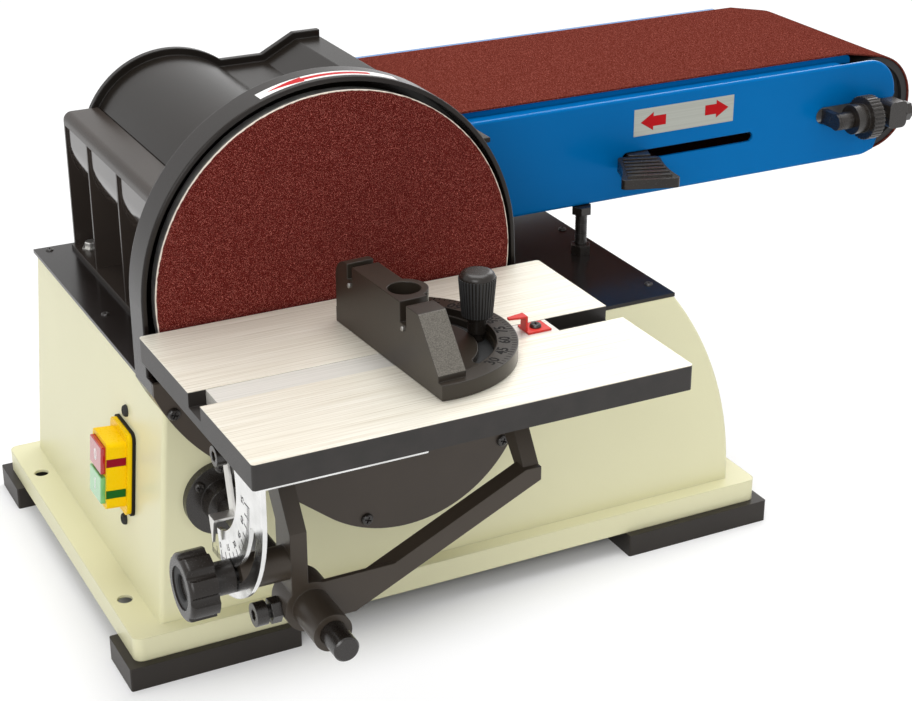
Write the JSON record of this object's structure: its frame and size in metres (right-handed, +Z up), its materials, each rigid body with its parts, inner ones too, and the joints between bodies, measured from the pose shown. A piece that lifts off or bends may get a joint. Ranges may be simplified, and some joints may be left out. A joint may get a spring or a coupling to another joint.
{
  "type": "belt and disc sander",
  "caption": "Bench-top belt and disc sander: cream sheet-metal base, blue tilting belt arm, disc with a tilting aluminium table and mitre gauge.",
  "frame": {"origin": "on the bench plane, under the middle of the machine's bounding box", "axes": "X to the right along the belt arm, Y from the table towards the rear, Z up"},
  "size_m": [0.6772, 0.493, 0.3775],
  "materials": {
    "cream_paint": "semi-gloss pale cream paint on folded sheet",
    "black_sheet": "satin black paint",
    "foot_rubber": "moulded matt black rubber",
    "switch_yellow": "moulded yellow plastic",
    "gasket_black": "thin rubber sheet",
    "button_red": "moulded red plastic",
    "button_green": "moulded green plastic",
    "black_gloss": "glossy black moulded plastic",
    "cover_black": "satin black moulded plastic",
    "abrasive": "red-brown abrasive grit on cloth and paper",
    "cast_aluminium": "machined casting",
    "roller_black": "black roller",
    "bearing_steel": "ground steel",
    "iron": "black painted casting",
    "belt_rubber": "ribbed rubber",
    "black_oxide": "blackened steel",
    "arm_blue": "semi-gloss bright blue paint",
    "platen_steel": "bare steel",
    "knob_plastic": "moulded black plastic",
    "bracket_black": "satin black paint on a casting",
    "zinc": "bright zinc plate",
    "table_aluminium": "ground top, black painted sides",
    "pointer_red": "red painted steel strip"
  },
  "bodies": {
    "base": {"cabinet": "cream_paint", "top_plate": "black_sheet", "foot_front_left": "foot_rubber", "foot_front_right": "foot_rubber", "foot_rear_left": "foot_rubber", "foot_rear_right": "foot_rubber", "switch_gasket": "gasket_black", "switch_body": "switch_yellow", "disc_guard": "black_gloss", "lower_cover": "cover_black", "drum_housing": "black_gloss", "front_bearing_block": "iron", "front_bearing": "bearing_steel", "rear_bearing_block": "iron", "rear_bearing": "bearing_steel", "motor": "iron", "rod_flange": "black_oxide", "table_rod": "black_oxide", "drive_belt": "belt_rubber", "arm_stop_bolt": "black_oxide", "arm_stop_nut": "black_oxide"},
    "stop_key": {"stop_button": "button_red"},
    "start_key": {"start_button": "button_green"},
    "drive": {"drive_shaft": "bearing_steel", "abrasive_disc": "abrasive", "disc_plate": "cast_aluminium", "driven_pulley": "cast_aluminium", "drive_drum": "cast_aluminium"},
    "motor_rotor": {"motor_shaft": "bearing_steel", "motor_pulley": "cast_aluminium"},
    "arm": {"arm_front_plate": "arm_blue", "arm_rear_plate": "arm_blue", "arm_web": "arm_blue", "platen": "arm_blue", "sanding_belt": "abrasive", "drum_hood": "black_gloss", "lever_pivot": "platen_steel", "tracking_lug": "black_oxide"},
    "lever": {"tension_lever": "platen_steel", "lever_paddle": "knob_plastic"},
    "carriage": {"idler_carriage": "platen_steel", "idler_axle": "bearing_steel", "tracking_screw": "black_oxide"},
    "tracking": {"tracking_nut": "black_oxide"},
    "idler": {"idler_roller": "roller_black"},
    "bracket": {"table_bracket": "bracket_black", "clamp_screw": "black_oxide", "clamp_nut": "black_oxide", "left_pivot_bolt": "zinc", "right_pivot_bolt": "zinc", "tilt_pointer": "zinc"},
    "knob": {"tilt_knob": "knob_plastic", "knob_stud": "black_oxide"},
    "table": {"table_top": "table_aluminium", "table_quadrant": "zinc"},
    "mitre_slide": {"mitre_bar": "table_aluminium", "mitre_pointer": "pointer_red"},
    "mitre": {"mitre_head": "bracket_black"},
    "mitre_grip": {"mitre_knob": "knob_plastic"}
  },
  "joints": [
    {"name": "drive_spin", "type": "hinge", "parent": "base", "child": "drive", "pos_m": [-0.1931, -0.06905, 0.2565], "axis": [0, 1, 0], "continuous": true},
    {"name": "motor_spin", "type": "hinge", "parent": "base", "child": "motor_rotor", "pos_m": [-0.1461, -0.05105, 0.1185], "axis": [0, 1, 0], "continuous": true},
    {"name": "arm_tilt", "type": "hinge", "parent": "base", "child": "arm", "pos_m": [-0.1931, 0.13655, 0.2565], "axis": [0, -1, 0], "range_deg": [0, 90]},
    {"name": "lever_swing", "type": "hinge", "parent": "arm", "child": "lever", "pos_m": [0.1329, 0.17695, 0.2525], "axis": [0, 0, 1], "range_deg": [0, 38]},
    {"name": "carriage_slide", "type": "slide", "parent": "arm", "child": "carriage", "axis": [1, 0, 0], "range_m": [-0.00847, 0]},
    {"name": "tracking_turn", "type": "hinge", "parent": "carriage", "child": "tracking", "pos_m": [0.2779, 0.03415, 0.259], "axis": [1, 0, 0], "range_deg": [-180, 180]},
    {"name": "idler_spin", "type": "hinge", "parent": "carriage", "child": "idler", "pos_m": [0.3019, 0.13655, 0.259], "axis": [0, 1, 0], "continuous": true},
    {"name": "bracket_slide", "type": "slide", "parent": "base", "child": "bracket", "axis": [0, 1, 0], "range_m": [-0.018, 0]},
    {"name": "knob_turn", "type": "hinge", "parent": "bracket", "child": "knob", "pos_m": [-0.3131, -0.17789, 0.14121], "axis": [1, 0, 0], "range_deg": [-180, 180]},
    {"name": "table_tilt", "type": "hinge", "parent": "bracket", "child": "table", "pos_m": [-0.2031, -0.15105, 0.2015], "axis": [1, 0, 0], "range_deg": [0, 45]},
    {"name": "mitre_travel", "type": "slide", "parent": "table", "child": "mitre_slide", "axis": [1, 0, 0], "range_m": [-0.08, 0.08]},
    {"name": "mitre_swivel", "type": "hinge", "parent": "mitre_slide", "child": "mitre", "pos_m": [-0.1951, -0.16285, 0.2485], "axis": [0, 0, 1], "range_deg": [-48, 42]},
    {"name": "mitre_knob_turn", "type": "hinge", "parent": "mitre_slide", "child": "mitre_grip", "pos_m": [-0.1499, -0.16285, 0.2665], "axis": [0, 0, 1], "range_deg": [-180, 180]},
    {"name": "stop_press", "type": "slide", "parent": "base", "child": "stop_key", "axis": [0.9966, 0, -0.082], "range_m": [0, 0.003], "stiffness_N_per_m": 800},
    {"name": "start_press", "type": "slide", "parent": "base", "child": "start_key", "axis": [0.9966, 0, -0.082], "range_m": [0, 0.003], "stiffness_N_per_m": 800}
  ],
  "couplings": [
    {"joint": "motor_spin", "follows": "drive_spin", "ratio": 1.3636},
    {"joint": "idler_spin", "follows": "drive_spin", "ratio": 1},
    {"joint": "carriage_slide", "follows": "lever_swing", "m_per_rad": -0.012763}
  ]
}
